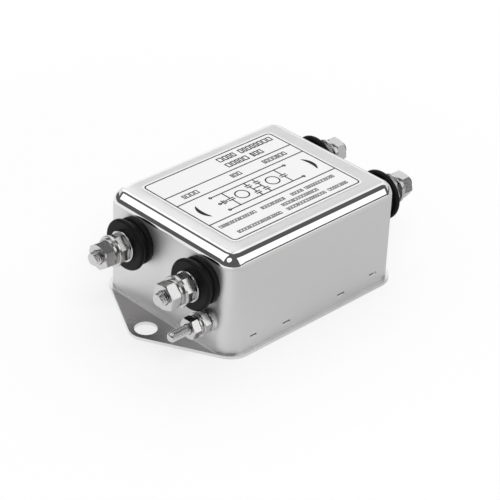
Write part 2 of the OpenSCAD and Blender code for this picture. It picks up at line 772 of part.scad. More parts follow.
module circuit_board() {
    all_leads = concat(
        box_cap_leads(row_x - 2 * row_pitch), box_cap_leads(row_x), box_cap_leads(row_x + 2 * row_pitch),
        disc_cap_leads(-disc_cap_y), disc_cap_leads(disc_cap_y), resistor_leads
    );
    coil_leads = [for (e = [-1, 1], side = [-1, 1]) each winding_leads(row_x + e * row_pitch, side)];
    slot_x = inner_l / 2 - ring_t - strap_t / 2;
    strap_slot_t = strap_t + 2 * lead_clearance;
    strap_slot_w = strap_w + 2 * lead_clearance;
    color([0.16, 0.42, 0.24]) difference() {
        translate([0, 0, board_z]) linear_extrude(board_t) rounded_rect(board_l, board_w, case_corner_r);
        at_points(all_leads) translate([0, 0, board_z - 1]) cylinder(r = lead_hole_r, h = board_t + 2);
        at_points(coil_leads) translate([0, 0, board_z - 1])
            cylinder(r = wire_d / 2 + lead_clearance, h = board_t + 2);
        // room for the earth stud's head, where it stands lower than the board
        at_earth(-earth_strap_end - earth_head_h - board_clearance)
            cylinder(d = earth_nut_af + 2 * board_clearance, h = earth_head_h + 4 * board_clearance);
        for (t = terminals) {
            translate([t[0] * slot_x, t[1] - t[2] * strap_arm, board_z + board_t / 2])
                cube([strap_slot_t, strap_slot_w, board_t + 2], center = true);
        }
    }
}

module choke_core(x) {
    color([0.25, 0.25, 0.27]) translate([x - core_l / 2, 0, choke_z]) rotate([0, 90, 0])
        flat_ring(core_d, core_bore / 2, core_l);
}

// Shell round the core's section, between two distances from it, from angle 0 to angle
module round_core(angle, near, far) {
    core_t = (core_d - core_bore) / 2;
    rotate_extrude(angle = angle) translate([(core_d + core_bore) / 4, 0]) difference() {
        square([core_t + 2 * far, core_l + 2 * far], center = true);
        square([core_t + 2 * near, core_l + 2 * near], center = true);
    }
}

// One winding: a thin sleeve on its side of the core, the turns on it and their two leads
module winding(x, side) {
    pitch = (winding_angle - turn_angle - 2 * turn_inset) / (winding_turns - 1);
    lead_top = choke_z - sqrt(coil_lead_r * coil_lead_r - coil_lead_y * coil_lead_y);
    color([0.72, 0.40, 0.20]) {
        translate([x, 0, choke_z]) rotate([0, 90, 0]) rotate([0, 0, side * 90 - winding_angle / 2]) {
            round_core(winding_angle, core_gap, winding_t / 2);
            for (i = [0 : winding_turns - 1]) {
                rotate([0, 0, turn_inset + i * pitch]) round_core(turn_angle, winding_t / 4, winding_t);
            }
        }
        at_points(winding_leads(x, side)) translate([0, 0, board_z - lead_below])
            cylinder(r = wire_d / 2, h = lead_top - board_z + lead_below);
    }
}

module box_capacitor(x) {
    color([0.86, 0.72, 0.20]) translate([x, 0, board_top]) linear_extrude(box_cap_h)
        rounded_rect(box_cap_t, box_cap_l, 0.6);
    color([0.8, 0.8, 0.8]) at_points(box_cap_leads(x)) translate([0, 0, board_z - lead_below])
        cylinder(r = lead_r, h = board_t + lead_below);
}

module disc_capacitor(y) {
    centre_z = board_top + disc_cap_d / 2 + 0.8;
    color([0.20, 0.36, 0.62]) translate([earth_cap_x - disc_cap_t / 2, y, centre_z]) rotate([0, 90, 0])
        cylinder(d = disc_cap_d, h = disc_cap_t);
    color([0.8, 0.8, 0.8]) at_points(disc_cap_leads(y)) translate([0, 0, board_z - lead_below])
        cylinder(r = lead_r, h = centre_z - board_z + lead_below);
}

module bleed_resistor() {
    axis_z = board_top + resistor_d / 2;
    color([0.80, 0.70, 0.55]) translate([resistor_x, -resistor_l / 2, axis_z]) rotate([-90, 0, 0])
        cylinder(d = resistor_d, h = resistor_l);
    color([0.8, 0.8, 0.8]) {
        translate([resistor_x, -resistor_pitch / 2, axis_z]) rotate([-90, 0, 0])
            cylinder(r = lead_r, h = resistor_pitch);
        at_points(resistor_leads) translate([0, 0, board_z - lead_below])
            cylinder(r = lead_r, h = axis_z - board_z + lead_below + lead_r);
    }
}

case_can();
base_plate();
rating_label();
label_print();
at_terminal(line_a, 0) bushing();  // bushing_line_a
at_terminal(line_b, 0) bushing();  // bushing_line_b
at_terminal(load_a, 0) bushing();  // bushing_load_a
at_terminal(load_b, 0) bushing();  // bushing_load_b
at_terminal(line_a, -spigot_end) bushing_ring();  // bushing_ring_line_a
at_terminal(line_b, -spigot_end) bushing_ring();  // bushing_ring_line_b
at_terminal(load_a, -spigot_end) bushing_ring();  // bushing_ring_load_a
at_terminal(load_b, -spigot_end) bushing_ring();  // bushing_ring_load_b
at_terminal(line_a, 0) terminal_stud();  // stud_line_a
at_terminal(line_b, 0) terminal_stud();  // stud_line_b
at_terminal(load_a, 0) terminal_stud();  // stud_load_a
at_terminal(load_b, 0) terminal_stud();  // stud_load_b
at_terminal(line_a, seat_washer_d0) terminal_washer();  // seat_washer_line_a
at_terminal(line_b, seat_washer_d0) terminal_washer();  // seat_washer_line_b
at_terminal(load_a, seat_washer_d0) terminal_washer();  // seat_washer_load_a
at_terminal(load_b, seat_washer_d0) terminal_washer();  // seat_washer_load_b
at_terminal(line_a, inner_nut_d0, 12) terminal_nut();  // inner_nut_line_a
at_terminal(line_b, inner_nut_d0, 20) terminal_nut();  // inner_nut_line_b
at_terminal(load_a, inner_nut_d0, 8) terminal_nut();  // inner_nut_load_a
at_terminal(load_b, inner_nut_d0, 25) terminal_nut();  // inner_nut_load_b
flat_washers();
at_terminal(line_a, spring_washer_d0) terminal_spring_washer();  // spring_washer_line_a
at_terminal(line_b, spring_washer_d0) terminal_spring_washer();  // spring_washer_line_b
at_terminal(load_a, spring_washer_d0) terminal_spring_washer();  // spring_washer_load_a
at_terminal(load_b, spring_washer_d0) terminal_spring_washer();  // spring_washer_load_b
at_terminal(line_a, outer_nut_d0, 17) terminal_nut();  // outer_nut_line_a
at_terminal(line_b, outer_nut_d0, 35) terminal_nut();  // outer_nut_line_b
at_terminal(load_a, outer_nut_d0, 5) terminal_nut();  // outer_nut_load_a
at_terminal(load_b, outer_nut_d0, 12) terminal_nut();  // outer_nut_load_b
strap(line_a);  // strap_line_a
strap(line_b);  // strap_line_b
strap(load_a);  // strap_load_a
strap(load_b);  // strap_load_b
at_earth(0) earth_stud();
at_earth(earth_boss_h) earth_washer();  // earth_seat_washer
at_earth(earth_inner_nut_d0, 15) earth_nut();  // earth_inner_nut
at_earth(earth_flat_washer_d0) earth_washer();  // earth_flat_washer
at_earth(earth_spring_d0) earth_spring_washer();
at_earth(earth_outer_nut_d0, 5) earth_nut();  // earth_outer_nut
earth_strap();
liner();
circuit_board();
board_spacers();
choke_core(row_x - row_pitch);  // choke_core_line
choke_core(row_x + row_pitch);  // choke_core_load
winding(row_x - row_pitch, -1);  // winding_line_a
winding(row_x - row_pitch, 1);  // winding_line_b
winding(row_x + row_pitch, -1);  // winding_load_a
winding(row_x + row_pitch, 1);  // winding_load_b
box_capacitor(row_x - 2 * row_pitch);  // box_capacitor_line
box_capacitor(row_x);  // box_capacitor_middle
box_capacitor(row_x + 2 * row_pitch);  // box_capacitor_load
disc_capacitor(-disc_cap_y);  // disc_capacitor_a
disc_capacitor(disc_cap_y);  // disc_capacitor_b
bleed_resistor();
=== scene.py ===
"""A line filter for bolting to a chassis: a plated steel can on an eared base plate, with a stud
terminal in a black spool bushing at each end of each conductor, and an earth stud.

The solids come from the frame. Here they get their finishes, the studs get their threads, the
label's print gets its letters, and the studio, its light and the camera are set up. All lengths
are in metres."""

import math

import bmesh
import bpy
import numpy as np
from mathutils import Matrix, Vector


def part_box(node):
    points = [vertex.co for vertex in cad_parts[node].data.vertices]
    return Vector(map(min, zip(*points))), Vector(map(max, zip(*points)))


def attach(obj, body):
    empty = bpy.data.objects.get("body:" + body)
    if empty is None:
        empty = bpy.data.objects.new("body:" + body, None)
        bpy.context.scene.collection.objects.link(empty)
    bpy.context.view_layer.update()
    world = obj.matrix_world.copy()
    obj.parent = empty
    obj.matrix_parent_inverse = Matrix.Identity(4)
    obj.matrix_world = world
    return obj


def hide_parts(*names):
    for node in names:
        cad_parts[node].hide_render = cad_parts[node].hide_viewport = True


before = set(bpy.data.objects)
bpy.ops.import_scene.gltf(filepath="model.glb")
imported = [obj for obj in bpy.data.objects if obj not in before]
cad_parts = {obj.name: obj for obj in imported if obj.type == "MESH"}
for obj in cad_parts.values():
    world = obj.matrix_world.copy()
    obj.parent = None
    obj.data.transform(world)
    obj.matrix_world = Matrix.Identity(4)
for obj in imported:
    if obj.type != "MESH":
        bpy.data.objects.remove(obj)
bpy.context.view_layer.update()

MM = 0.001

# The part's own sizes, as the solids have them.
CASE_L, CASE_W, CASE_H = 64 * MM, 50 * MM, 31 * MM
CASE_TOP_R = 4 * MM
END_WALL = CASE_L / 2
TERMINALS = {
    "line_a": (-1, -14.2 * MM),
    "line_b": (-1, 11.8 * MM),
    "load_a": (1, -14.2 * MM),
    "load_b": (1, 11.8 * MM),
}
TERMINAL_Z = 20.7 * MM
BUSHING_H = 4.9 * MM
EARTH_Y, EARTH_Z = -17.2 * MM, 9.8 * MM
EARTH_BOSS = 1.2 * MM
M4 = {"d": 4 * MM, "pitch": 0.7 * MM, "head_af": 7 * MM, "head_h": 2.8 * MM, "tip_round": 0.5 * MM}
M3 = {"d": 3 * MM, "pitch": 0.5 * MM, "head_af": 5.5 * MM, "head_h": 2.0 * MM, "tip_round": 1.0 * MM}
# Every stake of the can lies lower than this.
STAKES_UNDER = 6 * MM

# Settings that several nodes share.
SMOOTH = {"interpolation_type": "SMOOTHSTEP"}
COLOURS, NUMBERS = {"data_type": "RGBA"}, {"data_type": "FLOAT"}
SUM, DIFFERENCE, PRODUCT, QUOTIENT = ({"operation": o} for o in ("ADD", "SUBTRACT", "MULTIPLY", "DIVIDE"))
LARGER, SMALLER, SIZE = ({"operation": o} for o in ("MAXIMUM", "MINIMUM", "ABSOLUTE"))
UNDER, OVER = ({"operation": o} for o in ("LESS_THAN", "GREATER_THAN"))


# ---------------------------------------------------------------- helpers


def linear(hex_colour):
    """The linear RGBA of an sRGB hex colour."""
    parts = [int(hex_colour[i : i + 2], 16) / 255 for i in (1, 3, 5)]
    return tuple(c / 12.92 if c <= 0.04045 else ((c + 0.055) / 1.055) ** 2.4 for c in parts) + (1.0,)


def add(tree, kind, settings=None, inputs=None):
    """Adds a node: settings are its own properties, and inputs give each socket its value, or the
    (node, output) that it is linked from. Sockets go by their name or their number. A Mix node's
    factor is 0, its numbers are 2 and 3, its colours 6 and 7, and its mixed colour is output 2. A
    Map Range node turns 1 to 2 into 3 to 4, or into 0 to 1 where those aren't given. A Noise node
    has its scale at 2, its detail at 3 and its roughness at 4. A Texture Coordinate node gives
    the object's own coordinates at output 3."""
    made = tree.nodes.new(kind)
    for name, value in (settings or {}).items():
        setattr(made, name, value)
    for name, value in (inputs or {}).items():
        if isinstance(value, tuple) and isinstance(value[0], bpy.types.Node):
            tree.links.new(value[0].outputs[value[1]], made.inputs[name])
        else:
            made.inputs[name].default_value = value
    return made


def new_material(name):
    """An empty material, and its node tree with nothing in it."""
    material = bpy.data.materials.new(name)
    material.use_nodes = True
    tree = material.node_tree
    tree.nodes.clear()
    return material, tree


def finish_with(tree, shader):
    """Ends a tree in its surface output."""
    add(tree, "ShaderNodeOutputMaterial", inputs={"Surface": (shader, 0)})


def painted_crevice_shade(tree, tone, dark, reach):
    """The tone, going over to a dark one where a surface has others within reach over it: painted shade in a
    seam, a thread or a sheared slot."""
    open_to = add(tree, "ShaderNodeAmbientOcclusion", {"samples": 8}, {"Distance": reach})
    clear = add(tree, "ShaderNodeMapRange", SMOOTH, {0: (open_to, "AO"), 1: 0.15, 2: 0.62})
    return add(tree, "ShaderNodeMix", COLOURS, {0: (clear, 0), 6: linear(dark), 7: (tone, 2)})


def plated(tree, tone, rough, relief):
    """Ends a tree in bare or plated metal."""
    look = {"Base Color": (tone, 2), "Metallic": 1.0, "Roughness": (rough, 0), "Normal": (relief, 0)}
    finish_with(tree, add(tree, "ShaderNodeBsdfPrincipled", inputs=look))


def dress(material, *nodes):
    """Gives CAD nodes one finish."""
    for name in nodes:
        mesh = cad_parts[name].data
        mesh.materials.clear()
        mesh.materials.append(material)


def each(kind):
    """The names of the four nodes of a kind that every terminal has."""
    return [kind + "_" + t for t in TERMINALS]


def new_piece(name, data):
    """An object at the origin that holds a mesh, a lamp or a lens."""
    piece = bpy.data.objects.new(name, data)
    bpy.context.scene.collection.objects.link(piece)
    return piece


def grid_mesh(name, points):
    """A piece from a grid of points, rows x columns x 3. Columns run round and close on themselves,
    and the first and last row are each closed by one fan to their middle."""
    rows, columns = points.shape[:2]
    vertices = points.reshape(-1, 3)
    i = np.arange(rows - 1)[:, None] * columns
    j = np.arange(columns)[None, :]
    k = (j + 1) % columns
    quads = np.stack([i + j, i + k, i + columns + k, i + columns + j], -1).reshape(-1, 4)
    caps = np.stack([points[0].mean(0), points[-1].mean(0)])
    first, last = rows * columns, rows * columns + 1
    ring = np.arange(columns)
    near = np.stack([np.full(columns, first), (ring + 1) % columns, ring], -1)
    end = (rows - 1) * columns
    far = np.stack([np.full(columns, last), end + ring, end + (ring + 1) % columns], -1)
    faces = quads.tolist() + near.tolist() + far.tolist()
    mesh = bpy.data.meshes.new(name)
    mesh.from_pydata(np.vstack([vertices, caps]).tolist(), [], faces)
    mesh.update()
    return new_piece(name, mesh)


# ---------------------------------------------------------------- studs

STUD_COLUMNS = 48
ROWS_PER_TURN = 12
TIP_ROWS = 9
# Where the head's rows lie, as shares of its height.
HEAD_ROWS = np.array([0, 0.12, 0.3, 0.7, 1.0])
# The head's end face, as a share of its width, and how fast the cone behind it widens.
HEAD_FACE, HEAD_CONE = 0.95, 1.7
# The depth of a metric thread as a share of its pitch, and how far its crest stays under its size.
THREAD_DEPTH = 0.6134
CREST_PLAY = 0.06 * MM


def hexagon_radius(across_flats, t):
    """Half the width across flats over the cosine of the angle from the middle of the nearest flat."""
    sixth = math.pi / 3
    return across_flats / 2 / np.cos((t + sixth / 2) % sixth - sixth / 2)


def thread_wave(turns):
    """0 at the root and 1 at the crest of a metric thread, over one turn: a flat root a quarter of
    the pitch wide, a straight flank, a flat crest an eighth of it wide, and the other flank."""
    across = np.abs((turns % 1) - 0.5) * 2
    return np.clip((across - 0.25) / (0.875 - 0.25), 0, 1)


def threaded_stud(name, node, end, y, z, size, plain_to):
    """A stud as one surface of the distance s from the end wall and the angle t round the stud.
    Its radius is the hexagon's over the head, cut back by a cone at its end, half the thread's
    diameter over the plain shank, and beyond that the root's plus the thread's depth times the
    wave of s over the pitch less t over a turn. A quarter circle closes the tip."""
    low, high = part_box(node)
    inner, outer = (low.x, high.x) if end > 0 else (high.x, low.x)
    head_from, reach = end * inner - END_WALL, end * outer - END_WALL
    d, pitch, head_af, head_h, tip_round = size.values()
    root, crest = d / 2 - THREAD_DEPTH * pitch, d / 2 - CREST_PLAY
    t = np.arange(STUD_COLUMNS) * 2 * math.pi / STUD_COLUMNS

    head_s = HEAD_ROWS * head_h + head_from
    cone = head_af / 2 * HEAD_FACE + (head_s - head_from)[:, None] * HEAD_CONE
    head_r = np.minimum(hexagon_radius(head_af, t)[None, :], cone)

    head_to = head_from + head_h
    shank_s = np.array([head_to, (head_to + plain_to) / 2, plain_to])
    shank_r = np.full((3, STUD_COLUMNS), d / 2)

    tip_from = reach - tip_round
    turns_s = np.linspace(plain_to, tip_from, int((reach - plain_to) / pitch * ROWS_PER_TURN))
    tip_s = reach - tip_round * (1 - np.sin(np.linspace(0.1, 1, TIP_ROWS) * math.pi / 2))
    thread_s = np.concatenate([turns_s, tip_s])
    wave = thread_wave(thread_s[:, None] / pitch - t[None, :] / (2 * math.pi))
    run_in = np.clip((thread_s - plain_to) / pitch, 0, 1)[:, None]
    thread_r = root + (crest - root) * (1 - (1 - wave) * run_in)
    past = np.clip((thread_s - tip_from) / tip_round, 0, 1)[:, None]
    thread_r = np.minimum(thread_r, crest - tip_round + tip_round * np.sqrt(1 - past**2))

    s = np.concatenate([head_s, shank_s, thread_s])
    r = np.vstack([head_r, shank_r, thread_r])
    angle = end * t[None, :]
    x = np.broadcast_to(end * (END_WALL + s)[:, None], r.shape)
    stud = grid_mesh(name, np.stack([x, y + r * np.cos(angle), z + r * np.sin(angle)], -1))
    stud.data.polygons.foreach_set("use_smooth", np.ones(len(stud.data.polygons), bool))
    stud.data.set_sharp_from_angle(angle=math.radians(40))
    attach(stud, "root")
    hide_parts(node)
    return stud


studs = [
    threaded_stud("threaded_stud_" + t, "stud_" + t, end, y, TERMINAL_Z, M4, BUSHING_H)
    for t, (end, y) in TERMINALS.items()
]
studs.append(threaded_stud("threaded_earth_stud", "earth_stud", -1, EARTH_Y, EARTH_Z, M3, EARTH_BOSS))


# ---------------------------------------------------------------- label print

# Where the label, its circuit and the crescents beside the circuit lie, as the solids have them.
LABEL_SHIFT = (-0.3 * MM, 0.4 * MM)
CIRCUIT_Y = -1.95 * MM
CRESCENT_X, CRESCENT_HALF = 19.5 * MM, 3.4 * MM
# How far ink spreads past each edge, and how much further at the middle of a crescent.
INK_SPREAD, CRESCENT_SPREAD = 0.07 * MM, 0.28 * MM
SHORTEST_WORD = 3 * MM
# A letter's width, the gap on each side of it and its stroke, as shares of its height.
LETTER_W, LETTER_GAP, LETTER_STROKE = 0.77, 0.06, 0.18


def merged_triangles(node):
    """The corners and triangles of a copy of a solid's mesh, with its doubles merged."""
    merged = bmesh.new()
    merged.from_mesh(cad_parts[node].data)
    bmesh.ops.remove_doubles(merged, verts=merged.verts, dist=0.0005 * MM)
    bmesh.ops.triangulate(merged, faces=merged.faces)
    mesh = bpy.data.meshes.new(node)
    merged.to_mesh(mesh)
    merged.free()
    spots = np.empty(len(mesh.vertices) * 3)
    mesh.vertices.foreach_get("co", spots)
    faces = np.empty(len(mesh.polygons) * 3, int)
    mesh.polygons.foreach_get("vertices", faces)
    bpy.data.meshes.remove(mesh)
    return spots.reshape(-1, 3), faces.reshape(-1, 3)


def islands(faces, count):
    """A number for each of count corners, the same for all that faces join: each face gives its
    corners the lowest number among them, until nothing changes."""
    number = np.arange(count)
    while True:
        lowest = number.copy()
        np.minimum.at(lowest, faces.ravel(), np.repeat(number[faces].min(1), 3))
        if (lowest == number).all():
            return number
        number = lowest


def spread_outline(spots, faces):
    """Ink spreads a little at its edges. Each corner of the outline moves out in the plane by the
    spread times twice the sum of the normals of its walls over the square of that sum, so that each
    wall moves by the spread. The crescents at the ends of the circuit get more, by one less the
    square of the way along them."""
    corners = spots[faces]
    normals = np.cross(corners[:, 1] - corners[:, 0], corners[:, 2] - corners[:, 0])
    normals /= np.maximum(np.linalg.norm(normals, axis=1, keepdims=True), 1e-18)
    walls = np.abs(normals[:, 2]) < 0.5
    total = np.zeros_like(spots)
    for k in range(3):
        one = corners[:, (k + 1) % 3] - corners[:, k]
        two = corners[:, (k + 2) % 3] - corners[:, k]
        lengths = np.linalg.norm(one, axis=1) * np.linalg.norm(two, axis=1)
        # A wall's triangles share a corner's right angle, so each counts by its part of it.
        share = np.arccos(np.clip((one * two).sum(1) / (lengths + 1e-18), -1, 1)) / (math.pi / 2)
        np.add.at(total, faces[walls, k], normals[walls] * share[walls, None])
    total[:, 2] = 0
    square = np.maximum((total**2).sum(1), 1.0)
    from_middle = np.abs(spots[:, 0] - LABEL_SHIFT[0])
    along = (spots[:, 1] - LABEL_SHIFT[1] - CIRCUIT_Y) / CRESCENT_HALF
    crescent = (from_middle > CRESCENT_X) & (from_middle < CRESCENT_X + 2 * MM) & (np.abs(along) < 1.05)
    spread = INK_SPREAD + np.where(crescent, CRESCENT_SPREAD * np.clip(1 - along**2, 0, 1), 0)
    return spots + total * (2 * spread / square)[:, None]


def letter_boxes(low, high):
    """A word as a row of open boxes between two corners, one for each letter, so that it has the
    weight of print and spells nothing. The letters share the word's length by 1 plus a fifth of a
    sine, whose angle is 2.4 times the letter's number squared, plus the word's x in millimetres."""
    height = high[1] - low[1]
    i = np.arange(round((high[0] - low[0]) / (LETTER_W * height)))
    share = 1 + 0.2 * np.sin(2.4 * i**2 + low[0] / MM)
    edges = low[0] + np.append(0, np.cumsum(share)) / share.sum() * (high[0] - low[0])
    gap, stroke = LETTER_GAP * height, LETTER_STROKE * height
    # Each letter has 16 corners: an outer ring below and above, and an inner ring below and above.
    rings = []
    for inset in (0, stroke):
        x0, x1 = edges[:-1] + gap + inset, edges[1:] - gap - inset
        y0 = np.full_like(x0, low[1] - INK_SPREAD + inset)
        y1 = np.full_like(x0, high[1] + INK_SPREAD - inset)
        for z in (low[2], high[2]):
            level = np.full_like(x0, z)
            rings += [np.stack((x, y, level), -1) for x, y in ((x0, y0), (x1, y0), (x1, y1), (x0, y1))]
    c = np.arange(4)
    d = (c + 1) % 4
    top = np.stack([4 + c, 4 + d, 12 + d, 12 + c], -1)
    foot = np.stack([d, c, 8 + c, 8 + d], -1)
    outside = np.stack([c, d, 4 + d, 4 + c], -1)
    inside = np.stack([8 + d, 8 + c, 12 + c, 12 + d], -1)
    faces = (np.vstack([top, foot, outside, inside])[None] + 16 * i[:, None, None]).reshape(-1, 4)
    return np.stack(rings, 1).reshape(-1, 3), faces


def printed_label(name, node):
    """The label's print: its lines with the ink spread, and a row of open boxes for each word,
    which is an island of eight corners that is longer than the shortest word."""
    spots, faces = merged_triangles(node)
    found, index, count = np.unique(islands(faces, len(spots)), return_inverse=True, return_counts=True)
    low, high = np.full((len(found), 3), np.inf), np.full((len(found), 3), -np.inf)
    np.minimum.at(low, index, spots)
    np.maximum.at(high, index, spots)
    word = (count == 8) & (high[:, 0] - low[:, 0] > SHORTEST_WORD)
    lines = faces[~word[index[faces[:, 0]]]]
    all_spots, all_faces = [spread_outline(spots, faces)], lines.tolist()
    filled = len(spots)
    for corner_low, corner_high in zip(low[word], high[word]):
        box_spots, box_faces = letter_boxes(corner_low, corner_high)
        all_spots.append(box_spots)
        all_faces += (box_faces + filled).tolist()
        filled += len(box_spots)
    mesh = bpy.data.meshes.new(name)
    mesh.from_pydata(np.vstack(all_spots).tolist(), [], all_faces)
    # The corners of the plain bars that the words replace have no faces left.
    loose = bmesh.new()
    loose.from_mesh(mesh)
    bmesh.ops.delete(loose, geom=[v for v in loose.verts if not v.link_faces], context="VERTS")
    loose.to_mesh(mesh)
    loose.free()
    piece = new_piece(name, mesh)
    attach(piece, "root")
    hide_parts(node)
    return piece


label_lines = printed_label("printed_label_lines", "label_print")


# ---------------------------------------------------------------- finishes


def nickel_plated_can():
    """Drawn steel sheet under bright nickel. The flats keep a fine satin grain from rolling, and the
    punch has burnished the bends round the top, which mirror the studio as bands."""
    material, tree = new_material("nickel_plated_drawn_can")
    place = add(tree, "ShaderNodeTexCoord")
    xyz = add(tree, "ShaderNodeSeparateXYZ", inputs={0: (place, 3)})
    # How far out past the flat of the top each way, and how far up past the flat of the walls.
    over = []
    for axis, half in ((0, CASE_L / 2), (1, CASE_W / 2)):
        size = add(tree, "ShaderNodeMath", SIZE, {0: (xyz, axis)})
        over.append(add(tree, "ShaderNodeMath", DIFFERENCE, {0: (size, 0), 1: half - CASE_TOP_R}))
    above = add(tree, "ShaderNodeMath", DIFFERENCE, {0: (xyz, 2), 1: CASE_H - CASE_TOP_R})
    side = add(tree, "ShaderNodeMath", LARGER, {0: (over[0], 0), 1: (over[1], 0)})
    bend = add(tree, "ShaderNodeMath", SMALLER, {0: (side, 0), 1: (above, 0)})
    burnished = add(tree, "ShaderNodeMapRange", SMOOTH, {0: (bend, 0), 1: 0.45 * MM, 2: 0.95 * MM})
    # Grain 0.15 mm across and seven times as long, lying along the sheet.
    grain_place = add(tree, "ShaderNodeMapping", inputs={0: (place, 3), 3: (0.15, 0.15, 1.0)})
    grain = add(tree, "ShaderNodeTexNoise", inputs={0: (grain_place, 0), 2: 1 / (0.15 * MM), 3: 3.0, 4: 0.6})
    # Cloudiness of the plating, in patches of 6 mm.
    cloud = add(tree, "ShaderNodeTexNoise", inputs={0: (place, 3), 2: 1 / (6 * MM), 3: 2.0, 4: 0.5})
    satin = add(tree, "ShaderNodeMapRange", inputs={0: (cloud, 0), 1: 0.3, 2: 0.7, 3: 0.50, 4: 0.56})
    rough = add(tree, "ShaderNodeMix", NUMBERS, {0: (burnished, 0), 2: (satin, 0), 3: 0.035})
    tone = add(tree, "ShaderNodeMix", COLOURS, {0: (cloud, 0), 6: linear("#E1E0E0"), 7: linear("#E6E5E5")})
    # Painted light: the top's margin at the line end is painted paler, going over to #F8F8F8.
    line_end = add(tree, "ShaderNodeMapRange", SMOOTH, {0: (xyz, 0), 1: -23 * MM, 2: -29 * MM})
    on_top = add(tree, "ShaderNodeMath", OVER, {0: (above, 0), 1: CASE_TOP_R - 0.3 * MM})
    painted_light_margin = add(tree, "ShaderNodeMath", PRODUCT, {0: (line_end, 0), 1: (on_top, 0)})
    tone = add(tree, "ShaderNodeMix", COLOURS, {0: (painted_light_margin, 0), 6: (tone, 2), 7: linear("#F8F8F8")})
    # Painted shade in the can's seams and slots, going over to #5A5A5B.
    tone = painted_crevice_shade(tree, tone, "#5A5A5B", 0.4 * MM)
    # Shade under the sheared edge of each stake: where the long sides are pressed in deepest, low
    # down and clear of the corners.
    pressed_in = {0: (over[1], 0), 1: CASE_TOP_R - 0.18 * MM, 2: CASE_TOP_R - 0.24 * MM}
    sheared = add(tree, "ShaderNodeMapRange", SMOOTH, pressed_in)
    outside = add(tree, "ShaderNodeMath", OVER, {0: (over[1], 0), 1: CASE_TOP_R - 0.6 * MM})
    between = add(tree, "ShaderNodeMath", UNDER, {0: (over[0], 0), 1: -4 * MM})
    low = add(tree, "ShaderNodeMath", UNDER, {0: (above, 0), 1: STAKES_UNDER - (CASE_H - CASE_TOP_R)})
    for mask in (outside, between, low):
        sheared = add(tree, "ShaderNodeMath", PRODUCT, {0: (sheared, 0), 1: (mask, 0)})
    tone = add(tree, "ShaderNodeMix", COLOURS, {0: (sheared, 0), 6: (tone, 2), 7: linear("#3A3A3B")})
    # The burnished bends have no grain left.
    depth = add(tree, "ShaderNodeMapRange", inputs={0: (burnished, 0), 3: 0.05, 4: 0.0})
    relief = add(tree, "ShaderNodeBump", inputs={0: (depth, 0), 1: 0.01 * MM, "Height": (grain, 0)})
    plated(tree, tone, rough, relief)
    return material


def nickel_plated_plate():
    """Steel sheet, blanked and plated, with a fine even grain. The flat faces of its ears are painted a
    darker grey than the can, and than the plate's edges and the lip that the press has struck round the can:
    painted shade. The edges and the lip keep the pale plated tone."""
    material, tree = new_material("nickel_plated_sheet")
    place = add(tree, "ShaderNodeTexCoord")
    shape = add(tree, "ShaderNodeNewGeometry")
    facing = add(tree, "ShaderNodeSeparateXYZ", inputs={0: (shape, "True Normal")})
    level = add(tree, "ShaderNodeMath", SIZE, {0: (facing, 2)})
    face = add(tree, "ShaderNodeMapRange", SMOOTH, {0: (level, 0), 1: 0.5, 2: 0.95})
    xyz = add(tree, "ShaderNodeSeparateXYZ", inputs={0: (place, 3)})
    out = add(tree, "ShaderNodeMath", SIZE, {0: (xyz, 0)})
    past_lip = {0: (out, 0), 1: END_WALL + 0.9 * MM, 2: END_WALL + 1.3 * MM}
    ear = add(tree, "ShaderNodeMapRange", SMOOTH, past_lip)
    face = add(tree, "ShaderNodeMath", PRODUCT, {0: (face, 0), 1: (ear, 0)})
    # Grain 0.2 mm across.
    grain = add(tree, "ShaderNodeTexNoise", inputs={0: (place, 3), 2: 1 / (0.2 * MM), 3: 3.0, 4: 0.6})
    # Cloudiness of the plating, in patches of 5 mm.
    cloud = add(tree, "ShaderNodeTexNoise", inputs={0: (place, 3), 2: 1 / (5 * MM), 3: 2.0, 4: 0.5})
    # Painted shade: the flat faces of the ears take a darker grey than the edges and the lip.
    painted_ear_shade = add(tree, "ShaderNodeMix", COLOURS, {0: (cloud, 0), 6: linear("#AAA9A9"), 7: linear("#B4B3B3")})
    tone = add(tree, "ShaderNodeMix", COLOURS, {0: (face, 0), 6: linear("#DFDFDF"), 7: (painted_ear_shade, 2)})
    # Painted shade in the plate's seams, going over to #5A5A5B.
    tone = painted_crevice_shade(tree, tone, "#5A5A5B", 0.4 * MM)
    rough = add(tree, "ShaderNodeMapRange", inputs={0: (cloud, 0), 1: 0.3, 2: 0.7, 3: 0.26, 4: 0.34})
    relief = add(tree, "ShaderNodeBump", inputs={0: 0.05, 1: 0.01 * MM, "Height": (grain, 0)})
    plated(tree, tone, rough, relief)
    return material


def tumbled_metal(name, pale, dark, low, high):
    """Turned, rolled or drawn metal, barrel plated or coated: bright, with faint tumbling marks that
    vary its tone between pale and dark and its roughness between low and high."""
    material, tree = new_material(name)
    place = add(tree, "ShaderNodeTexCoord")
    # Tumbling marks 0.4 mm across.
    marks = add(tree, "ShaderNodeTexNoise", inputs={0: (place, 3), 2: 1 / (0.4 * MM), 3: 3.0, 4: 0.6})
    tone = add(tree, "ShaderNodeMix", COLOURS, {0: (marks, 0), 6: linear(dark), 7: linear(pale)})
    rough = add(tree, "ShaderNodeMapRange", inputs={0: (marks, 0), 1: 0.3, 2: 0.7, 3: low, 4: high})
    # Painted shade between nuts and washers and in the threads, going over to #1C1C1D.
    tone = painted_crevice_shade(tree, tone, "#1C1C1D", 1.0 * MM)
    relief = add(tree, "ShaderNodeBump", inputs={0: 0.15, 1: 0.02 * MM, "Height": (marks, 0)})
    plated(tree, tone, rough, relief)
    return material


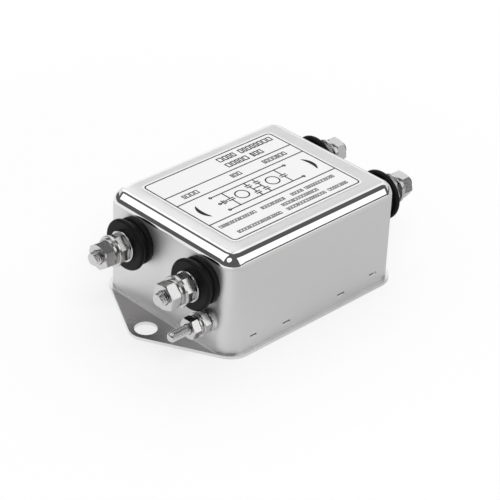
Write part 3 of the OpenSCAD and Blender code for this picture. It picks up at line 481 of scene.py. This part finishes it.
def moulded(name, pale, dark, grain_size, low, high, grain_depth, gloss=0.5):
    """Plastic, resin, card or ceramic: the fine grain of its tool, sheet or grit, whose size is in
    millimetres, and a faint drift of tone between pale and dark and of roughness between low and
    high."""
    material, tree = new_material(name)
    place = add(tree, "ShaderNodeTexCoord")
    grain = add(tree, "ShaderNodeTexNoise", inputs={0: (place, 3), 2: 1 / (grain_size * MM), 3: 3.0, 4: 0.6})
    # The drift, in patches of 4 mm.
    drift = add(tree, "ShaderNodeTexNoise", inputs={0: (place, 3), 2: 1 / (4 * MM), 3: 2.0, 4: 0.5})
    tone = add(tree, "ShaderNodeMix", COLOURS, {0: (drift, 0), 6: linear(dark), 7: linear(pale)})
    rough = add(tree, "ShaderNodeMapRange", inputs={0: (drift, 0), 1: 0.3, 2: 0.7, 3: low, 4: high})
    relief = add(tree, "ShaderNodeBump", inputs={0: grain_depth, 1: 0.03 * MM, "Height": (grain, 0)})
    look = {"Base Color": (tone, 2), "Roughness": (rough, 0), "Normal": (relief, 0)}
    finish_with(tree, add(tree, "ShaderNodeBsdfPrincipled", inputs=look | {"Specular IOR Level": gloss}))
    return material


def printed_ink():
    """Black screen ink, matt, a little uneven in density."""
    material, tree = new_material("screen_printed_ink")
    place = add(tree, "ShaderNodeTexCoord")
    # Density of the ink, in patches of 0.4 mm.
    density = add(tree, "ShaderNodeTexNoise", inputs={0: (place, 3), 2: 1 / (0.4 * MM), 3: 2.0, 4: 0.5})
    tone = add(tree, "ShaderNodeMix", COLOURS, {0: (density, 0), 6: linear("#101012"), 7: linear("#1E1E20")})
    rough = add(tree, "ShaderNodeMapRange", inputs={0: (density, 0), 1: 0.3, 2: 0.7, 3: 0.5, 4: 0.65})
    look = {"Base Color": (tone, 2), "Roughness": (rough, 0), "Specular IOR Level": 0.2}
    finish_with(tree, add(tree, "ShaderNodeBsdfPrincipled", inputs=look))
    return material


can_metal = nickel_plated_can()
plate_metal = nickel_plated_plate()
# Bright nickel over steel: each flat of a nut is a slightly soft mirror.
hardware = tumbled_metal("nickel_plated_hardware", "#D9D8D8", "#B2B1B1", 0.16, 0.26)
# The same plating over spring steel: a shade greyer and softer.
spring_steel = tumbled_metal("plated_spring_steel", "#C6C6C4", "#B6B6B4", 0.18, 0.28)
# Copper strip under thin tin: pinkish and satin.
strap_copper = tumbled_metal("tinned_copper_strip", "#D9B48E", "#CFA67E", 0.25, 0.4)
# Copper wire under clear enamel: deep orange and glossy.
wire_copper = tumbled_metal("enamelled_copper_wire", "#C97B45", "#B9683A", 0.12, 0.2)
# White polyester film: an even satin, all but without grain.
label_film = moulded("polyester_label_film", "#F3F3F3", "#F0F0F0", 0.3, 0.38, 0.46, 0.04)
label_ink = printed_ink()
# Black phenolic, pressed hot in a polished tool: deep black, with a faint narrow shine on its rims.
bushing_black = moulded("moulded_black_phenolic", "#171718", "#121213", 0.25, 0.30, 0.40, 0.12, 0.10)
# Nylon as it is moulded, natural and white: waxy and soft.
natural_nylon = moulded("natural_nylon", "#D8D2C2", "#CFC8B6", 0.3, 0.45, 0.55, 0.1)
white_nylon = moulded("white_nylon", "#EDEDE9", "#E4E4DF", 0.3, 0.45, 0.55, 0.1)
# Pressed card: straw-coloured, dull and fibrous.
liner_card = moulded("insulating_card", "#DCCFA0", "#D2C493", 0.15, 0.8, 0.9, 0.3)
# Glass cloth in epoxy under green lacquer: satin.
laminate = moulded("glass_epoxy_laminate", "#2E6B43", "#27603B", 0.4, 0.3, 0.42, 0.1)
# Sintered ferrite under a thin coat: dark, dull and gritty.
ferrite = moulded("coated_ferrite", "#45454A", "#3B3B40", 0.2, 0.6, 0.75, 0.3)
# Capacitor cases: yellow moulded plastic with some gloss, and blue epoxy, dipped, wet-looking.
capacitor_box = moulded("moulded_capacitor_case", "#DDB83C", "#D3AD30", 0.3, 0.25, 0.35, 0.1)
capacitor_disc = moulded("dipped_epoxy", "#33609E", "#2B5591", 0.5, 0.12, 0.2, 0.3)
# Lacquer over ceramic: tan and glossy.
resistor_body = moulded("lacquered_ceramic", "#CBB28B", "#C0A67E", 0.3, 0.2, 0.3, 0.1)

for stud in studs:
    stud.data.materials.append(hardware)
label_lines.data.materials.append(label_ink)
dress(can_metal, "case_can")
dress(plate_metal, "base_plate")
dress(label_film, "rating_label")
dress(label_ink, "label_print")
dress(bushing_black, *each("bushing"))
dress(natural_nylon, *each("bushing_ring"))
dress(hardware, *each("stud"), *each("seat_washer"), *each("inner_nut"), *each("outer_nut"), "flat_washers")
dress(hardware, "earth_stud", "earth_seat_washer", "earth_inner_nut", "earth_flat_washer", "earth_outer_nut")
dress(spring_steel, "earth_spring_washer", *each("spring_washer"))
dress(strap_copper, "earth_strap", *each("strap"))
dress(liner_card, "liner")
dress(laminate, "circuit_board")
dress(white_nylon, "board_spacers")
dress(ferrite, "choke_core_line", "choke_core_load")
dress(wire_copper, *each("winding"))
dress(capacitor_box, "box_capacitor_line", "box_capacitor_middle", "box_capacitor_load")
dress(capacitor_disc, "disc_capacitor_a", "disc_capacitor_b")
dress(resistor_body, "bleed_resistor")


# ---------------------------------------------------------------- studio

FLOOR_HALF, FLOOR_Z = 4.0, -0.05 * MM
# The share of glow in the sweep by the object, where the rest is lit paint, and how bright it glows
# to the eye, and in mirrors on the -X side and on the -Y side.
FLOOR_GLOW = 0.6
FLOOR_SEEN, FLOOR_LEFT, FLOOR_RIGHT = 1.06, 1.20, 0.61
# How bright the room's parts are in mirrors, and the room as light on a matt surface.
FRAME_LEVEL, FAR_LEVEL, BEYOND_LEVEL, PANEL_LEVEL, MATT_LEVEL = 0.12, 1.15, 0.9, 1.5, 0.52
LAMP_X, LAMP_Y = -0.58, -0.17


def studio_floor():
    """A pale sweep. It shows white where it is seen or mirrored, but keeps the object's shadow, and
    goes over to even white away from the object. In reflections it is paler on the -X side, where
    the light comes from, than on the -Y side."""
    corners = [(x * FLOOR_HALF, y * FLOOR_HALF, FLOOR_Z) for x, y in ((-1, -1), (1, -1), (1, 1), (-1, 1))]
    mesh = bpy.data.meshes.new("studio_floor")
    mesh.from_pydata(corners, [], [(0, 1, 2, 3)])
    floor = new_piece("studio_floor", mesh)
    material, tree = new_material("painted_sweep")
    path = add(tree, "ShaderNodeLightPath")
    to_eye = (path, "Is Camera Ray")
    seen = add(tree, "ShaderNodeMath", LARGER, {0: to_eye, 1: (path, "Is Glossy Ray")})
    seen = add(tree, "ShaderNodeMath", LARGER, {0: (seen, 0), 1: (path, "Is Transmission Ray")})
    share = add(tree, "ShaderNodeMath", PRODUCT, {0: (seen, 0), 1: FLOOR_GLOW})
    place = add(tree, "ShaderNodeTexCoord")
    out = add(tree, "ShaderNodeVectorMath", {"operation": "LENGTH"}, {0: (place, 3)})
    away = add(tree, "ShaderNodeMapRange", SMOOTH, {0: (out, 1), 1: 90 * MM, 2: 350 * MM})
    away = add(tree, "ShaderNodeMath", PRODUCT, {0: (away, 0), 1: to_eye})
    share = add(tree, "ShaderNodeMix", NUMBERS, {0: (away, 0), 2: (share, 0), 3: 1.0})
    xyz = add(tree, "ShaderNodeSeparateXYZ", inputs={0: (place, 3)})
    across = add(tree, "ShaderNodeMath", DIFFERENCE, {0: (xyz, 0), 1: (xyz, 1)})
    sides = {0: (across, 0), 1: -50 * MM, 2: 50 * MM, 3: FLOOR_LEFT, 4: FLOOR_RIGHT}
    mirrored = add(tree, "ShaderNodeMapRange", SMOOTH, sides)
    strength = add(tree, "ShaderNodeMix", NUMBERS, {0: to_eye, 2: (mirrored, 0), 3: FLOOR_SEEN})
    paint = add(tree, "ShaderNodeBsdfDiffuse", inputs={0: linear("#F4F4F4")})
    glow = add(tree, "ShaderNodeEmission", inputs={0: (1, 1, 1, 1), 1: (strength, 0)})
    both = add(tree, "ShaderNodeMixShader", inputs={0: (share, 0), 1: (paint, 0), 2: (glow, 0)})
    finish_with(tree, both)
    mesh.materials.append(material)


def studio_world():
    """An even room. In reflections it is a dark frame round a pale far wall and two white panels,
    with a small round lamp in the post between the panels, a dark rail above the horizon, and a
    pale room beyond the outer posts. x, y and z are those of the direction that is mirrored, and a
    and b are x and y for each unit of z. The far wall is where both a and b are over its edge. The
    first panel is where a is under its edge and y lies between its posts, the second where b is
    under its edge and x lies between its posts. The lamp is a circle in x and y. The rail lies
    between two heights z, which are further apart for a low x. Edges are soft steps."""
    world = bpy.data.worlds.new("studio")
    bpy.context.scene.world = world
    world.use_nodes = True
    tree = world.node_tree
    tree.nodes.clear()
    path = add(tree, "ShaderNodeLightPath")
    way = add(tree, "ShaderNodeTexCoord")
    xyz = add(tree, "ShaderNodeSeparateXYZ", inputs={0: (way, 0)})
    up = add(tree, "ShaderNodeMath", LARGER, {0: (xyz, 2), 1: 0.001})
    a = add(tree, "ShaderNodeMath", QUOTIENT, {0: (xyz, 0), 1: (up, 0)})
    b = add(tree, "ShaderNodeMath", QUOTIENT, {0: (xyz, 1), 1: (up, 0)})
    far_a = add(tree, "ShaderNodeMapRange", SMOOTH, {0: (a, 0), 1: 0.19, 2: 0.23})
    far_b = add(tree, "ShaderNodeMapRange", SMOOTH, {0: (b, 0), 1: 0.14, 2: 0.18})
    far = add(tree, "ShaderNodeMath", PRODUCT, {0: (far_a, 0), 1: (far_b, 0)})

    # Each panel's slope, its edge from dark to lit, and the axis and places of its two posts.
    first, second = (a, -0.07, -0.11, 1, 0.24, 0.68), (b, -0.49, -0.57, 0, 0.04, 0.70)
    panels = []
    for slope, dark, lit, along, start, end in (first, second):
        panel = add(tree, "ShaderNodeMapRange", SMOOTH, {0: (slope, 0), 1: dark, 2: lit})
        begun = add(tree, "ShaderNodeMapRange", SMOOTH, {0: (xyz, along), 1: start - 0.02, 2: start + 0.02})
        ended = add(tree, "ShaderNodeMapRange", SMOOTH, {0: (xyz, along), 1: end + 0.01, 2: end - 0.01})
        for post in (begun, ended):
            panel = add(tree, "ShaderNodeMath", PRODUCT, {0: (panel, 0), 1: (post, 0)})
        panels.append(panel)
    panel = add(tree, "ShaderNodeMath", LARGER, {0: (panels[0], 0), 1: (panels[1], 0)})

    lamp_x = add(tree, "ShaderNodeMath", DIFFERENCE, {0: (xyz, 0), 1: LAMP_X})
    lamp_y = add(tree, "ShaderNodeMath", DIFFERENCE, {0: (xyz, 1), 1: LAMP_Y})
    lamp_to = add(tree, "ShaderNodeCombineXYZ", inputs={0: (lamp_x, 0), 1: (lamp_y, 0)})
    lamp_far = add(tree, "ShaderNodeVectorMath", {"operation": "LENGTH"}, {0: (lamp_to, 0)})
    lamp = add(tree, "ShaderNodeMapRange", SMOOTH, {0: (lamp_far, 1), 1: 0.25, 2: 0.21})
    overhead = add(tree, "ShaderNodeMath", OVER, {0: (xyz, 2), 1: 0.3})
    lamp = add(tree, "ShaderNodeMath", PRODUCT, {0: (lamp, 0), 1: (overhead, 0)})
    white = add(tree, "ShaderNodeMath", LARGER, {0: (panel, 0), 1: (lamp, 0)})

    beyond_x = add(tree, "ShaderNodeMapRange", SMOOTH, {0: (xyz, 0), 1: 0.86, 2: 0.92})
    beyond_y = add(tree, "ShaderNodeMapRange", SMOOTH, {0: (xyz, 1), 1: 0.80, 2: 0.88})
    beyond = add(tree, "ShaderNodeMath", LARGER, {0: (beyond_x, 0), 1: (beyond_y, 0)})

    top = add(tree, "ShaderNodeMapRange", SMOOTH, {0: (xyz, 0), 1: 0.2, 2: -0.3, 3: 0.21, 4: 0.41})
    foot = add(tree, "ShaderNodeMapRange", SMOOTH, {0: (xyz, 0), 1: 0.2, 2: -0.3, 3: 0.05, 4: -0.1})
    rail = add(tree, "ShaderNodeMath", UNDER, {0: (xyz, 2), 1: (top, 0)})
    over_foot = add(tree, "ShaderNodeMath", OVER, {0: (xyz, 2), 1: (foot, 0)})
    # The rail stops short of the far side, where +X and +Y meet.
    towards_far = add(tree, "ShaderNodeMath", SUM, {0: (xyz, 0), 1: (xyz, 1)})
    near_side = add(tree, "ShaderNodeMath", UNDER, {0: (towards_far, 0), 1: 1.1})
    for mask in (over_foot, near_side):
        rail = add(tree, "ShaderNodeMath", PRODUCT, {0: (rail, 0), 1: (mask, 0)})

    room = FRAME_LEVEL
    for place, level in ((far, FAR_LEVEL), (beyond, BEYOND_LEVEL), (white, PANEL_LEVEL), (rail, FRAME_LEVEL)):
        room = (add(tree, "ShaderNodeMix", NUMBERS, {0: (place, 0), 2: room, 3: level}), 0)
    level = add(tree, "ShaderNodeMix", NUMBERS, {0: (path, "Is Glossy Ray"), 2: MATT_LEVEL, 3: room})
    # White to the eye, straight or through something clear.
    clear = (path, "Is Transmission Ray")
    straight = add(tree, "ShaderNodeMath", LARGER, {0: (path, "Is Camera Ray"), 1: clear})
    level = add(tree, "ShaderNodeMix", NUMBERS, {0: (straight, 0), 2: (level, 0), 3: 1.0})
    light = add(tree, "ShaderNodeBackground", inputs={0: (1, 1, 1, 1), 1: (level, 0)})
    add(tree, "ShaderNodeOutputWorld", inputs={"Surface": (light, 0)})


def area_light(name, place, size, power):
    """A square soft box at place, turned to the middle of the part. It shows in no mirror."""
    lamp = bpy.data.lights.new(name, "AREA")
    lamp.shape = "SQUARE"
    lamp.size = size
    lamp.energy = power
    made = new_piece(name, lamp)
    made.location = place
    made.rotation_euler = (Vector((0, 0, 0.015)) - Vector(place)).to_track_quat("-Z", "Y").to_euler()
    made.visible_glossy = False


def camera():
    """A long lens that looks down at the line end and the earth stud's side."""
    turn, rise, roll = math.radians(-45.293), math.radians(31.389), math.radians(2.612)
    target, distance = Vector((0, 0, 15.446 * MM)), 555.06 * MM
    back = Vector((math.sin(turn) * math.cos(rise), -math.cos(turn) * math.cos(rise), math.sin(rise)))
    right = Vector((math.cos(turn), math.sin(turn), 0))
    up = back.cross(right)
    right_rolled = math.cos(roll) * right + math.sin(roll) * up
    up_rolled = math.cos(roll) * up - math.sin(roll) * right
    turned = Matrix((right_rolled, up_rolled, back)).transposed().to_4x4()
    lens = bpy.data.cameras.new("camera")
    lens.sensor_width = 36
    lens.lens = 144
    lens.shift_x = -2.125 / 500
    lens.shift_y = -16.599 / 500
    lens.clip_start = 0.01
    lens.clip_end = 20
    made = new_piece("camera", lens)
    made.matrix_world = Matrix.Translation(target + distance * back) @ turned
    bpy.context.scene.camera = made


studio_floor()
studio_world()
area_light("key_light", (-0.5, -0.9, 1.3), 1.2, 12.5)
area_light("fill_light", (0.9, 0.6, 1.2), 1.4, 7)
camera()

bpy.context.scene.view_settings.view_transform = "Standard"
